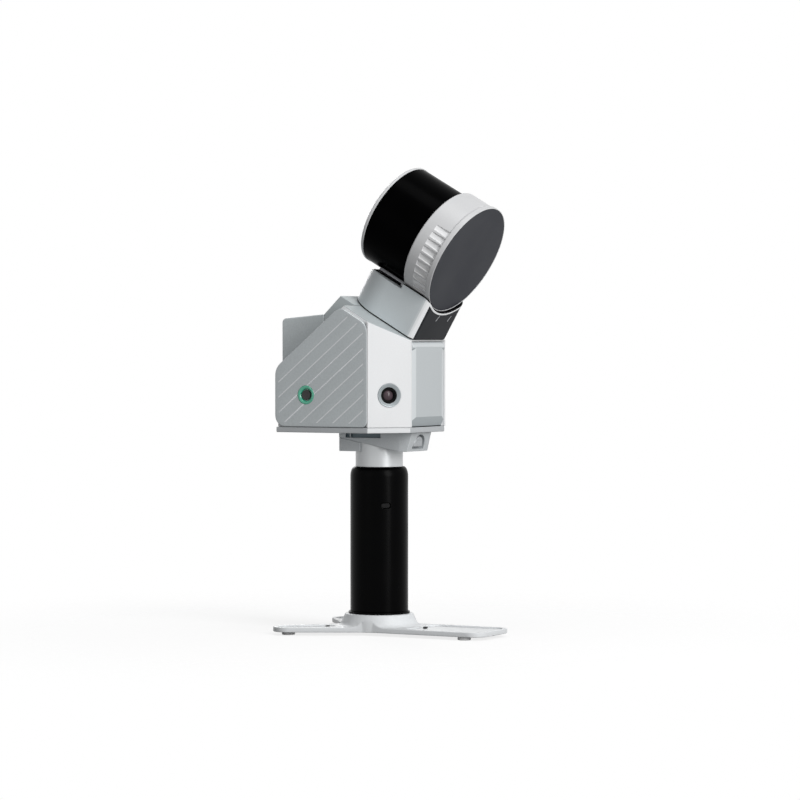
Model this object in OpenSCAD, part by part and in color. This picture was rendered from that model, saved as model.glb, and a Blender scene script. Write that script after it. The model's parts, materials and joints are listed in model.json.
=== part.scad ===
// Hand-held lidar scanner standing on its three-legged base, in millimetres.
// The front is -Y, up is +Z, and the origin is the tip of the centre point on the ground.

/* [Base] */
// Height of the rubber pads
pad_h = 3; // [2:0.1:6]
// Radius of a rubber pad
pad_r = 6; // [4:0.1:8]
// Thickness of the leg plate
leg_t = 4.5; // [3.5:0.1:8]
// Radius of the hub where it meets the legs
hub_r = 33.8; // [32:0.1:40]
// Radius of the hub at its top
hub_top_r = 31; // [28:0.1:32]
// Height of the hub above the legs
hub_h = 11; // [7:0.1:16]
// Radius of the blend between the hub and the legs
hub_blend = 6; // [2:0.5:8]
// Reach of the front leg from the handle axis
front_reach = 120; // [105:1:135]
// Width of the front leg
front_w = 64; // [50:1:66]
// Corner radius of the front leg
front_corner = 14; // [8:0.5:20]
// Reach of a rear leg from the handle axis
rear_reach = 98; // [85:1:115]
// Radius of the tip of a rear leg
rear_tip_r = 14; // [10:0.5:18]
// Angle of the rear legs from the front
rear_angle = 140; // [130:1:150]
// Depth of the pockets in the legs
pocket_d = 1.5; // [0.5:0.1:2.5]
// Rim left around a pocket
pocket_rim = 4; // [2:0.5:6]
// Radius of the blunt end of the centre point
point_r = 1; // [0.5:0.1:2]

/* [Handle] */
// Radius of the grip
grip_r = 26.4; // [24.5:0.1:29]
// Height of the grip sleeve
grip_h = 132; // [124:1:145]
// Height of the rounded shoulder of the grip
shoulder_h = 9; // [4:0.5:14]
// Radius of the ring at the foot of the grip
ring_r = 28; // [26:0.1:30]
// Height of that ring
ring_h = 2; // [1:0.1:4]
// Outer radius of the handle tube
tube_r = 21.6; // [21.2:0.1:23]
// Wall of the handle tube
tube_wall = 1.4; // [1:0.1:1.7]
// Length of a cell
cell_l = 65; // [60:0.5:70]
// Radius of a cell
cell_r = 9.1; // [8.5:0.05:9.2]
// Height of the grip button above the foot of the sleeve
latch_up = 97; // [92:0.5:105]
// Direction of the grip button from the front, towards the left side
latch_turn = 48; // [20:1:70]
// Width of the grip button
latch_w = 9; // [7:0.1:11]
// Height of the grip button
latch_h = 5; // [4:0.1:7]
// Travel of the grip button
latch_travel = 1.2; // [0.5:0.1:2]

/* [Quick release] */
// Height of the clamp underside above the sleeve, on the axis
collar_h = 20.6; // [16:0.1:26]
// Depth of the clamp on the axis
clamp_h = 10.9; // [9:0.1:16]
// Width of the clamp
clamp_w = 43.6; // [43.4:0.1:50]
// Width of the front end of the clamp
clamp_nose_w = 37; // [32:0.5:42]
// Reach of the clamp to the front
clamp_front = 44; // [42:0.5:48]
// Reach of the clamp to the rear
clamp_rear = 30; // [28:0.5:38]
// Slope of the clamp underside
clamp_slope = 11; // [6:0.5:14]
// Slope of the front end of the clamp
nose_slope = 15.5; // [5:0.5:20]
// Depth of the front end of the clamp
nose_h = 17.3; // [16:0.1:19]
// Width of the release button
release_w = 21; // [16:0.5:24]
// Height of the release button
release_h = 13; // [11.5:0.1:13.5]
// Travel of the release button
release_travel = 1.5; // [0.5:0.1:2]
// Thickness of the dovetail plate
plate_t = 4.2; // [3:0.1:5]

/* [Body] */
// Width of the body over both covers
body_w = 124; // [118:1:134]
// Reach of the front cover from the handle axis
door_f = 51.5; // [49:0.5:56]
// Depth by which the casing front lies behind the front cover
door_proud = 0.6; // [0.3:0.1:2]
// Size of the chamfered front corners
chamfer = 28.9; // [25:0.1:30]
// Reach of the side covers to the rear
rear_f = 73.8; // [69:0.1:78]
// Thickness of the bottom tray
tray_t = 5; // [4:0.1:7]
// Wall of the casing
wall = 2.6; // [2:0.1:3]
// Thickness of a side cover
cover_t = 3; // [2:0.1:4]
// Height of the sloped deck at the front cover, above the body bottom
lip_z = 83; // [80:0.5:88]
// Tilt of the neck towards the front
tilt = 30; // [27:0.5:33]
// Height at which the diagonal edge of a cover starts at the rear
rear_corner_z = 58.2; // [52:0.1:62]
// Angle of the diagonal edge and of the grooves
diag_angle = 39.4; // [36:0.1:42]
// Spacing of the grooves
groove_pitch = 10.7; // [8:0.1:14]
// Width of a groove, which is cut as a V of half that depth
groove_w = 1.1; // [0.6:0.1:2]
// Width of the rear cover and hump
spine_w = 76; // [70:1:80]
// Reach of the rear cover
box_f = 80.5; // [78:0.5:90]
// Height of the rear cover above the body bottom
box_h = 103; // [96:0.5:104]
// Distance of the ridge of the hump behind the handle axis
ridge_f = 19; // [17:0.5:21]
// Slope behind the ridge
hump_slope = 44; // [40:0.5:46]
// Radius of the round top edge of the front cover
barrel_r = 4.5; // [4:0.1:5]
// Height of the power button and the cameras above the body bottom
eye_z = 34; // [30:0.5:38]
// Distance of the power button behind the handle axis
button_f = 41.5; // [38:0.5:46]
// Radius of the light ring
light_r = 8.6; // [7.5:0.1:10]
// Radius of the power button
button_r = 5.1; // [4:0.1:6]
// Travel of the power button
button_travel = 0.8; // [0.3:0.1:1]
// Radius of a camera bezel
bezel_r = 10.6; // [9.6:0.1:12]
// Radius of a camera barrel
barrel_eye_r = 7.2; // [6.4:0.1:8]

/* [Neck] */
// Distance of the neck axis before the handle axis, at the deck
neck_f = 12; // [10:0.5:14]
// Height of the roof inside the neck, along its axis
roof_h = 23.4; // [22:0.2:25]
// Width of the neck
neck_w = 68; // [66:0.5:72]
// Radius of the front corners of the neck
neck_front_r = 7; // [4:0.5:9]
// Width of the dark front panel
panel_w = 60; // [50:0.5:61]
// Thickness of the dark front panel
panel_t = 3; // [2:0.1:4]
// Thickness of the neck gasket
gasket_t = 1.2; // [0.8:0.1:2]
// Gap between the scanner base and the cradle in the neck
cradle_gap = 0.8; // [0.5:0.1:1.2]
// Width of the light lip between the cradle and the dark panel
lip_w = 2.2; // [1.6:0.1:3]
// Distance of the cheeks before the neck axis
cheek_f = 13; // [11:0.5:17]
// Height of the neck side just behind the cheeks
notch_h = 35; // [33:0.2:38]
// Slope of the neck side behind the cheeks
notch_slope = 1; // [0:0.5:10]
// Thickness of the gap over the deck
seal_gap = 0.2; // [0.2:0.1:0.5]
// Radius of the drive shaft
shaft_r = 6; // [5:0.1:7]

/* [Scanner head] */
// Distance of the scanner axis from the deck, along the neck
head_h = 82; // [81.5:0.5:86]
// Radius of the scanner cap and window
window_r = 48.4; // [46:0.1:49]
// Wall of the window
window_wall = 2.2; // [1.5:0.1:3]
// Length of the window
window_l = 51; // [46:0.5:54]
// Thickness of the cap
cap_t = 4; // [3:0.1:6]
// Length of the scanner base
base_l = 31; // [28:0.5:36]
// Radius of the scanner base at its rim
rim_r = 53; // [51.6:0.1:53.4]
// Radius of the dark end disc
disc_r = 52.2; // [50:0.1:52.3]
// Radius of the spinning core
core_r = 40; // [34:0.5:42]
// Number of fin gaps on each side
fin_count = 11; // [6:1:12]
// Depth of the fin gaps
fin_d = 1.6; // [0.8:0.1:2.4]
// Half angle of the saddle under the scanner
saddle_half = 31; // [22:1:34]
// Reach of the saddle behind the neck axis
saddle_rear = 18.6; // [18:0.2:26]
// Thickness of the pad under the saddle
mount_pad_t = 2; // [1:0.1:3]

/* [Hidden] */
$fn = 64;
// clearances used between pieces
fit = 0.1;
run = 0.04;
gap = 0.3;
// levels of the stand
plate_top = pad_h + leg_t;
hub_top = plate_top + hub_h;
socket_z = plate_top + 1.5;
sleeve_z = hub_top + ring_h;
sleeve_top = sleeve_z + grip_h;
body_z = sleeve_top + collar_h + clamp_h;
tube_in = tube_r - tube_wall;
plug_top = sleeve_z + 15;
holder_t = 4;
holder_pocket = 1;
cells_z = plug_top + holder_t - holder_pocket;
board_t = 1.6;
latch_z = sleeve_z + latch_up;
head_plug_bore = 6;
head_plug_z = latch_z + 22;
// pads lie this far inside the outline of the legs
pad_in = 20;
pad_side = 8;
// pockets and screws of the legs, and the stem of the centre point
pocket_gap = 1;
screw_in = 7;
base_screw_l = leg_t - pocket_d - 0.8;
point_stem_r = 3;
// fasteners
screw_r = 1.5;
screw_head_r = 2.7;
screw_head_h = 1.8;
// clamp
clamp_axis_z = -clamp_h;
nose_top = -gap;
nose_run = (nose_h + nose_top) * tan(nose_slope);
plate_front = 29;
plate_rear = 18;
plate_half = 13;
plate_flare = 2.5;
// casing
front_f = door_f - door_proud;
side_x = body_w / 2 - cover_t - gap / 2;
chamfer_f = front_f - chamfer;
nose_half = body_w / 2 - chamfer - gap;
cover_z0 = tray_t + gap;
cover_f1 = chamfer_f - gap;
cover_drop = 3;
groove_count = 8;
groove_first = 12.2;
groove_end = 3.5;
cover_in = 1.2;
spine_rear = 36;
pocket_f = door_f - 5.3;
door_half = nose_half - 2.2;
door_z0 = tray_t + gap;
door_lip_d = 4;
door_lip_h = 9;
door_side_d = 1.5;
door_side_w = 6;
pin_f = door_f - barrel_r;
pin_z = lip_z - barrel_r - 1.2;
pin_r = 1.5;
pin_half = door_half + 2.2;
port_half = 24;
port_z0 = tray_t + 10;
port_z1 = tray_t + 54;
block_f = pin_f - 14;
// chassis, boards and heat sink
chassis_z = tray_t + 5;
chassis_t = 3;
chassis_rear = 30;
chassis_front = 28;
chassis_half = 34;
post_r = 3;
post_in = 5;
wire_hole_r = 5;
main_board_z = chassis_z + chassis_t + 6;
sink_rear = 22;
sink_front = 8;
sink_t = 3;
sink_h = 14;
sink_pitch = 4;
sink_fin = 1.6;
storage_in = 10;
storage_h = 46;
storage_half = 24;
// sockets behind the front cover
socket_w = 11;
socket_h = 5;
socket_l = 10;
socket_side = 12;
socket_z0 = tray_t + 22;
socket_wall = 0.9;
panel_back = 0.2;
slot_half = 14;
slot_l = 14;
slot_z0 = tray_t + 36;
slot_z1 = tray_t + 41;
// rear cover
box_front_z = deck(-ridge_f) - (spine_rear - ridge_f) * tan(hump_slope) - gap;
// neck
neck_z = body_z + deck(neck_f);
neck_front = (door_f - neck_f) / cos(tilt);
roof_t = 3;
boss_r = 18;
boss_z = roof_h - 8;
bearing_r = 11;
bearing_h = 4.4;
bearing_top = roof_h - 1.2;
shaft_top = roof_h - 0.4;
magnet_r = 22;
magnet_in = 14;
motor_h = 9;
stator_r = magnet_in - 0.4;
slip_r = 9;
slip_l = 18;
cradle_r = rim_r + cradle_gap;
panel_cut_r = cradle_r + lip_w;
cheek_top = head_h - sqrt(cradle_r * cradle_r - neck_w * neck_w / 4) + 1;
// scanner head
cap_z = -(cap_t + window_l + base_l) / 2;
window_z = cap_z + cap_t;
base_z = window_z + window_l;
base_end = base_z + base_l;
disc_t = 3.6;
disc_z = base_end - disc_t - 0.1;
fin_gap = 4.6;
fin_first = 66;
fin_step = 8;
fin_z = base_z + 11;
fin_end = base_end - 5.5;
rim_z = base_end - 4.6;
rim_edge = 0.3;
shell_t = 4;
shell_in_r = rim_r - 8;
shell_r = rim_r - 0.8;
saddle_in_r = window_r + 0.8;
saddle_out_r = cradle_r - mount_pad_t;
saddle_front = base_end - 8;
saddle_lap = 4;
mount_pad_in = 1.6;
mount_pad_drop = 0.6;
gasket_in = 0.7;
gasket_w = 3.3;
saddle_screw_side = 10;
saddle_screw_f = [24, 33];
saddle_screw_top = head_h - cradle_r + 2;
motor_r = 18;
motor_l = 16;
shell_hole_r = motor_r * 2;
spindle_r = 3;

// heights of the sloped deck and of the diagonal edge, above the body bottom, at a distance f to the front
function deck(f) = lip_z + (door_f - f) * tan(tilt);
function diag(f) = rear_corner_z + (f + rear_f) * tan(diag_angle);

// outline with rounded corners from points [u, v, radius]
function unit(v) = v / norm(v);
function turn(a) = a > 180 ? a - 360 : a < -180 ? a + 360 : a;
function flat(p) = [p[0], p[1]];
function corner(a, b, c, r, n) =
  let (u = unit(a - b), v = unit(c - b), half = acos(u * v) / 2)
  let (m = b + unit(u + v) * r / sin(half), p = b + u * r / tan(half), q = b + v * r / tan(half))
  let (s = atan2(p[1] - m[1], p[0] - m[0]), e = atan2(q[1] - m[1], q[0] - m[0]), d = turn(e - s))
  [for (i = [0:n]) m + r * [cos(s + d * i / n), sin(s + d * i / n)]];
function rounded(pts, n = 6) =
  let (k = len(pts))
  [for (i = [0:k - 1])
    let (b = pts[i], a = pts[(i + k - 1) % k], c = pts[(i + 1) % k])
    each (len(b) < 3 ? [flat(b)] : corner(flat(a), flat(b), flat(c), b[2], n))];

// prism along X from points [front, height], and prism along Z from points [front, side]
module side_plate(pts, x0, x1) {
  translate([x0, 0, 0]) rotate([90, 0, 90]) linear_extrude(x1 - x0) polygon([for (p = pts) [-p[0], p[1]]]);
}
module side_prism(pts, half) {
  side_plate(pts, -half, half);
}
module plan_prism(pts, z0, z1) {
  translate([0, 0, z0]) linear_extrude(z1 - z0) polygon([for (p = pts) [p[1], -p[0]]]);
}
// box from points [front, height] of two corners, over the width 2 * half
module front_box(f0, f1, z0, z1, half) {
  translate([-half, -f1, z0]) cube([2 * half, f1 - f0, z1 - z0]);
}
module on_body() {
  translate([0, 0, body_z]) children();
}
module neck_frame() {
  translate([0, -neck_f, neck_z]) rotate([tilt, 0, 0]) children();
}
module head_frame() {
  neck_frame() translate([0, 0, head_h]) rotate([90, 0, 0]) children();
}
module tube(r1, r0, z0, z1) {
  translate([0, 0, z0]) difference() {
    cylinder(h = z1 - z0, r = r1);
    translate([0, 0, -1]) cylinder(h = z1 - z0 + 2, r = r0);
  }
}
module rod(r, z0, z1) {
  translate([0, 0, z0]) cylinder(h = z1 - z0, r = r);
}

// base plate with its legs and hub
module tongue(r0, r1, d) {
  a = acos((r0 - r1) / d);
  polygon([r0 * [cos(a), sin(a)], [d, 0] + r1 * [cos(a), sin(a)],
    [d, 0] + r1 * [cos(a), -sin(a)], r0 * [cos(a), -sin(a)]]);
  translate([d, 0]) circle(r1);
}
module rear_legs() {
  for (s = [-1, 1]) rotate(-90 + s * rear_angle) children();
}
module base_outline() {
  h = front_w / 2;
  circle(hub_r);
  r = front_corner;
  rotate(-90) polygon(rounded([[0, -h], [front_reach, -h, r], [front_reach, h, r], [0, h]]));
  rear_legs() tongue(hub_r - pocket_rim, rear_tip_r, rear_reach - rear_tip_r);
}
module base_pockets() {
  h = front_w / 2 - pocket_rim;
  r = front_corner - pocket_rim;
  f0 = hub_r + hub_blend + pocket_gap;
  f1 = front_reach - pocket_rim;
  rotate(-90) polygon(rounded([[f0, -h, r], [f1, -h, r], [f1, h, r], [f0, h, r]]));
  rear_legs() {
    t = rear_tip_r - pocket_rim;
    l = rear_reach - rear_tip_r - f0 - t;
    translate([f0 + t, 0]) circle(t);
    translate([f0 + t, -t]) square([l, 2 * t]);
    translate([f0 + t + l, 0]) circle(t);
  }
}
base_screw_f = hub_r + hub_blend + pocket_gap + screw_in;
module base_screw_places() {
  for (a = [0, -rear_angle, rear_angle]) rotate(-90 + a)
    translate([base_screw_f, 0, plate_top - pocket_d]) children();
}
module hub() {
  b = hub_blend;
  rotate_extrude() polygon(concat([[0, plate_top]],
    [for (a = [0:15:75]) [hub_r + b * (1 - sin(a)), plate_top + b * (1 - cos(a))]],
    [[hub_top_r, hub_top], [0, hub_top]]));
}
module base_plate() color("lightgray") difference() {
  union() {
    translate([0, 0, pad_h]) linear_extrude(leg_t) base_outline();
    intersection() {
      hub();
      translate([0, 0, plate_top]) linear_extrude(hub_h) base_outline();
    }
  }
  rod(tube_r + fit, socket_z, hub_top + 1);
  rod(point_stem_r, pad_h - 1, socket_z + 1);
  translate([0, 0, plate_top - pocket_d]) linear_extrude(pocket_d + 1) base_pockets();
  base_screw_places() rod(screw_r, -base_screw_l, 1);
}
module foot_pads() color("black") {
  for (s = [-1, 1]) translate([s * (front_w / 2 - pad_side), -(front_reach - pad_in), 0])
    rod(pad_r, 0, pad_h);
  rear_legs() translate([rear_reach - rear_tip_r, 0, 0]) rod(pad_r, 0, pad_h);
}
module centre_point() color("black") {
  cylinder(h = pad_h, r1 = point_r, r2 = point_stem_r + 1.2);
  rod(point_stem_r, pad_h, socket_z);
}
module base_screws() color("dimgray") base_screw_places() {
  rod(screw_head_r, 0, screw_head_h);
  rod(screw_r, -base_screw_l, 0);
}

// handle, its battery and the grip
module below_clamp(d = 0) {
  translate([0, 0, body_z + clamp_axis_z - d]) rotate([clamp_slope, 0, 0])
    translate([-100, -100, -400]) cube([200, 200, 400]);
}
module latch_frame() {
  translate([0, 0, latch_z]) rotate([90, 0, -latch_turn]) children();
}
module oval(w, h) {
  square([w - h, h], center = true);
  for (s = [-1, 1]) translate([s * (w - h) / 2, 0]) circle(h / 2);
}
module latch_hole() {
  latch_frame() linear_extrude(grip_r + 5) oval(latch_w + gap, latch_h + gap);
}
module handle_tube() color("silver") difference() {
  intersection() {
    tube(tube_r, tube_in, socket_z, body_z);
    below_clamp();
  }
  latch_hole();
}
module handle_plug() color("dimgray") tube(tube_in, 4, socket_z, plug_top);
module cell_places() {
  for (a = [0, 120, 240]) rotate(a) translate([0, cell_r * 2 / sqrt(3) + 0.2, 0]) children();
}
module cell_holders() color("black") {
  difference() {
    rod(tube_in - fit, plug_top, plug_top + holder_t);
    cell_places() rod(cell_r, cells_z, cells_z + holder_t);
  }
  difference() {
    rod(tube_in - fit, cells_z + cell_l - holder_pocket, cells_z + cell_l - holder_pocket + holder_t);
    cell_places() rod(cell_r, cells_z, cells_z + cell_l);
  }
}
module battery_cells() color("steelblue") cell_places() rod(cell_r, cells_z, cells_z + cell_l);
board_z = cells_z + cell_l - holder_pocket + holder_t;
module battery_board() color("green") rod(tube_in - 1, board_z, board_z + board_t);
module handle_head() color("dimgray") intersection() {
  tube(tube_in, head_plug_bore, head_plug_z, body_z);
  below_clamp();
}
module grip_sleeve() color("black") difference() {
  rotate_extrude() polygon(concat(
    [[tube_r, sleeve_z], [grip_r, sleeve_z]],
    [for (i = [0:9]) [tube_r + 0.5 + (grip_r - tube_r - 0.5) * cos(i * 10),
      sleeve_top - shoulder_h + shoulder_h * sin(i * 10)]],
    [[tube_r, sleeve_top]]));
  latch_hole();
}
module grip_ring() color("black") tube(ring_r, tube_r, hub_top, sleeve_z);
module latch_button() color("black") latch_frame() {
  translate([0, 0, tube_in - 2]) linear_extrude(grip_r - tube_in + 1) oval(latch_w - gap, latch_h - gap);
  translate([0, 0, tube_in - 3.4]) linear_extrude(1.8) oval(latch_w + 2.4, latch_h + 2.4);
}

// quick release between the handle and the body
module release_outline(d = 0) {
  r = release_w / 2 + d;
  y0 = -release_h / 2 - d;
  yc = release_h / 2 - release_w / 2;
  translate([-r, y0]) square([2 * r, yc - y0]);
  translate([0, yc]) intersection() {
    circle(r);
    translate([-r, -0.01]) square([2 * r, r + 1]);
  }
}
module nose_frame() {
  on_body() translate([0, -(clamp_front - nose_run / 2), (nose_top - nose_h) / 2])
    rotate([90 + nose_slope, 0, 0]) children();
}
module dovetail(d) {
  rotate([90, 0, 0]) translate([0, 0, -plate_rear - d]) linear_extrude(plate_front + plate_rear + 2 * d)
    polygon([[-plate_half - d, 0], [plate_half + d, 0],
      [plate_half + plate_flare + d, -plate_t - d], [-plate_half - plate_flare - d, -plate_t - d]]);
}
module clamp_block() color("silver") difference() {
  rear_z = clamp_axis_z + clamp_rear * tan(clamp_slope);
  nose_f = clamp_front - nose_run;
  on_body() intersection() {
    side_prism([[-clamp_rear, nose_top], [clamp_front, nose_top], [nose_f, -nose_h],
      [nose_f - 6, -nose_h], [-clamp_rear, rear_z]], clamp_w);
    plan_prism(mirrored([[-clamp_rear, clamp_w / 2], [clamp_front - 12, clamp_w / 2],
      [clamp_front, clamp_nose_w / 2]]), -nose_h - 1, 1);
  }
  below_clamp();
  on_body() {
    dovetail(fit);
    for (s = [-1, 1]) for (w = [[-23, -18.8], [-17.6, 13]])
      translate([s * clamp_w / 2, 0, 0]) front_box(w[0], w[1], -5, -1.2, 2.5);
  }
  nose_frame() translate([0, 0, -8]) linear_extrude(12) release_outline(gap);
}
module clamp_yoke() color("gray") difference() {
  intersection() {
    on_body() front_box(-clamp_rear, -8, -nose_h - 0.3, 0, clamp_w / 2 - 0.3);
    below_clamp();
  }
  rod(tube_r, sleeve_top, body_z);
}
module release_button() color("gray") nose_frame()
  translate([0, 0, -6]) linear_extrude(5.4) release_outline();
module dovetail_plate() color("dimgray") on_body() difference() {
  dovetail(0);
  plate_screw_places() {
    rod(screw_head_r, -plate_t - 1, -plate_t + screw_head_h);
    rod(screw_r, -plate_t - 1, 1);
  }
}
module plate_screw_places() {
  for (f = [-plate_rear + 6, plate_front - 6]) for (s = [-1, 1]) translate([s * 8, -f, 0]) children();
}
module plate_screws() color("dimgray") on_body() plate_screw_places() {
  rod(screw_head_r, -plate_t, -plate_t + screw_head_h);
  rod(screw_r, -plate_t + screw_head_h, tray_t);
}

// body shells
function mirrored(pts) = concat(pts, [for (i = [len(pts) - 1:-1:0]) [pts[i][0], -pts[i][1]]]);
module bottom_tray() color("lightgray") on_body() difference() {
  e = 0.8;
  h = spine_w / 2 - e;
  plan_prism(mirrored([[-box_f + e, h], [-rear_f + e, h], [-rear_f + e, body_w / 2 - e],
    [chamfer_f - e / 2, body_w / 2 - e], [front_f - e, nose_half - e / 2]]), 0, tray_t);
  plate_screw_places() rod(screw_r, -1, tray_t + 1);
}
function cover_meet(a, b) =
  (lip_z + door_f * tan(tilt) - a - rear_corner_z - rear_f * tan(diag_angle) + b)
    / (tan(tilt) + tan(diag_angle));
cheek_meet = cover_meet(0, cover_in * tan(diag_angle));
module casing_solid() {
  intersection() {
    plan_prism(mirrored([[-rear_f + cover_in, side_x], [chamfer_f - gap / 2, side_x],
      [chamfer_f - gap / 2, body_w / 2 - gap], [chamfer_f, body_w / 2 - gap],
      [front_f, nose_half]]), tray_t, body_w * 2);
    side_prism([[-rear_f + cover_in, tray_t], [front_f, tray_t], [front_f, deck(front_f)],
      [cheek_meet, deck(cheek_meet)], [-rear_f + cover_in, diag(-rear_f)]], body_w);
  }
  side_prism([[-spine_rear, tray_t], [chamfer_f, tray_t], [chamfer_f, deck(chamfer_f)],
    [-ridge_f, deck(-ridge_f)], [-spine_rear, box_front_z + gap]], spine_w / 2);
}
module casing_void() {
  down = wall / cos(tilt);
  slip = wall / cos(diag_angle);
  in_f = pocket_f - wall;
  in_half = nose_half + front_f - in_f - wall * sqrt(2);
  meet = cheek_meet - (slip - down) / (tan(tilt) + tan(diag_angle));
  difference() {
    intersection() {
      plan_prism(mirrored([[-rear_f + cover_in + wall, side_x - wall],
        [in_f + in_half - side_x + wall, side_x - wall], [in_f, in_half]]), 0, body_w * 2);
      side_prism([[-rear_f + cover_in + wall, 0], [in_f, 0], [in_f, pin_z - 14], [block_f, pin_z - 4],
        [block_f, deck(block_f) - down], [meet, deck(meet) - down],
        [-rear_f + cover_in + wall, diag(-rear_f + wall) - slip]], body_w);
    }
    front_box(-box_f, -spine_rear + wall, -1, body_w * 2, spine_w / 2 + gap + wall);
  }
  side_prism([[-spine_rear - 1, 0], [block_f, 0], [block_f, deck(block_f) - down],
    [-ridge_f, deck(-ridge_f) - down], [-spine_rear - 1, box_front_z - wall]], spine_w / 2 - wall);
}
module eye_frame(s) {
  on_body() translate([s * (nose_half + chamfer / 2), -(front_f - chamfer / 2), eye_z])
    rotate([90, 0, s * 45]) children();
}
module hinge_frame() {
  translate([0, -pin_f, pin_z]) rotate([0, 90, 0]) children();
}
module main_casing() color("whitesmoke") difference() {
  on_body() difference() {
    casing_solid();
    casing_void();
    front_box(-box_f, -spine_rear, 0, body_w * 2, spine_w / 2 + gap);
    front_box(pocket_f, door_f + 5, 0, pin_z, door_half + gap);
    hinge_frame() rod(barrel_r + gap, -door_half - gap, door_half + gap);
    hinge_frame() rod(pin_r, -pin_half - fit, pin_half + fit);
    front_box(pin_f, door_f + 5, pin_z, pin_z + barrel_r + gap, door_half + gap);
    front_box(pocket_f - wall - 1, pocket_f + 1, port_z0, port_z1, port_half);
    translate([-body_w / 2, button_f, eye_z]) rotate([0, 90, 0]) rod(2.4, 0, 8);
  }
  for (s = [-1, 1]) eye_frame(s) rod(bezel_r, -8, 8);
  neck_frame() rod(bearing_r, -8, 8);
}
function cover_pts(m) =
  let (a = cover_drop + m / cos(tilt), b = m / cos(diag_angle), f = cover_meet(a, b))
  let (f1 = cover_f1 - m, f0 = -rear_f + m, z0 = cover_z0 + m)
  rounded([[f0, z0, 10], [f1, z0, 6], [f1, deck(f1) - a, 14], [f, deck(f) - a, 8],
    [f0, diag(f0) - b, 14]]);
module grooves(x) {
  intersection() {
    side_plate(cover_pts(groove_end), x - groove_w, x + groove_w);
    for (k = [0:groove_count - 1]) translate([x, rear_f, rear_corner_z]) rotate([-diag_angle, 0, 0])
      translate([0, -body_w / 2, -groove_first - groove_pitch * k]) rotate([0, 45, 0])
        cube([groove_w / sqrt(2), body_w * 3, groove_w / sqrt(2)], center = true);
  }
}
module cover(s) {
  x0 = body_w / 2 - cover_t;
  difference() {
    side_plate(cover_pts(0), s < 0 ? -body_w / 2 : x0, s < 0 ? -x0 : body_w / 2);
    grooves(s * body_w / 2);
  }
}
module button_frame() {
  on_body() translate([-body_w / 2, button_f, eye_z]) rotate([0, 90, 0]) children();
}
module left_cover() color("silver") difference() {
  on_body() cover(-1);
  button_frame() rod(light_r, -1, cover_t + 1);
}
module right_cover() color("silver") on_body() cover(1);
module rear_screw_places() {
  for (z = [14, box_h - 14]) for (s = [-1, 1])
    on_body() translate([s * (spine_w / 2 - 8), box_f, z]) rotate([90, 0, 0]) children();
}
module rear_cover() color("silver") difference() {
  on_body() difference() {
    side_prism(rounded([[-spine_rear - gap, tray_t], [-spine_rear - gap, box_front_z],
      [-box_f, box_h, 4], [-box_f, tray_t, 2]]), spine_w / 2);
    side_prism([[0, 0], [0, box_front_z - wall], [-spine_rear, box_front_z - wall],
      [-box_f + wall, box_h - wall], [-box_f + wall, 0]], spine_w / 2 - wall);
  }
  rear_screw_places() {
    rod(screw_head_r, -1, screw_head_h);
    rod(screw_r, 0, wall + 1);
  }
}
module rear_screws() color("dimgray") rear_screw_places() {
  rod(screw_head_r, 0.2, screw_head_h);
  rod(screw_r, screw_head_h, wall + 5);
}

// inside the body
module chassis() color("gainsboro") on_body() difference() {
  union() {
    front_box(-chassis_rear, chassis_front, chassis_z, chassis_z + chassis_t, chassis_half);
    for (f = [-chassis_rear + post_in, chassis_front - post_in]) for (s = [-1, 1])
      translate([s * (chassis_half - post_in), -f, 0]) {
        rod(post_r, tray_t, chassis_z);
        rod(post_r, chassis_z + chassis_t, main_board_z);
      }
  }
  rod(wire_hole_r, 0, main_board_z);
}
module main_board() color("green") on_body()
  front_box(-chassis_rear, chassis_front - 1, main_board_z, main_board_z + board_t, chassis_half - 1);
module heat_sink() color("gainsboro") on_body() {
  z = main_board_z + board_t;
  front_box(-sink_rear, sink_front, z, z + sink_t, 4.5 * sink_pitch);
  for (i = [-4:4]) translate([i * sink_pitch, 0, 0])
    front_box(-sink_rear, sink_front, z + sink_t, z + sink_h, sink_fin / 2);
}
module storage_module() color("dimgray") on_body()
  front_box(-box_f + storage_in, -spine_rear - storage_in, tray_t, tray_t + storage_h, storage_half);

// front cover and what lies behind it
module socket_places() {
  for (s = [-1, 1]) on_body() translate([s * socket_side, -pocket_f, socket_z0])
    rotate([90, 0, 0]) children();
}
module card_slot(d) {
  f = pocket_f - panel_back;
  on_body() front_box(f - slot_l - d, f + d, slot_z0 - d, slot_z1 + d, slot_half + d);
}
module port_panel() color("dimgray") difference() {
  on_body() front_box(pocket_f - wall, pocket_f - panel_back, port_z0, port_z1, port_half);
  socket_places() linear_extrude(2 * socket_l, center = true) oval(socket_w, socket_h);
  card_slot(0.001);
}
module port_sockets() color("gray") {
  w = socket_wall;
  socket_places() translate([0, 0, -socket_l]) difference() {
    linear_extrude(socket_l - panel_back) oval(socket_w, socket_h);
    translate([0, 0, 3 * w]) linear_extrude(socket_l) oval(socket_w - 2 * w, socket_h - 2 * w);
  }
  difference() {
    card_slot(0);
    on_body() front_box(pocket_f - slot_l + 2 * w, pocket_f + 1, slot_z0 + w, slot_z1 - w, slot_half - w);
  }
}
module front_cover() color("silver") on_body() difference() {
  union() {
    intersection() {
      side_prism([[pocket_f + gap, door_z0], [door_f - door_lip_d, door_z0], [door_f, door_z0 + door_lip_h],
        [door_f, pin_z], [pocket_f + gap, pin_z]], door_half);
      plan_prism(mirrored([[pocket_f, door_half], [door_f - door_side_d, door_half],
        [door_f, door_half - door_side_w]]), 0, lip_z);
    }
    hinge_frame() rod(barrel_r, -door_half, door_half);
  }
  hinge_frame() rod(pin_r + run, -door_half - 1, door_half + 1);
}
module hinge_pin() color("gainsboro") on_body() hinge_frame() rod(pin_r, -pin_half, pin_half);

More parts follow.
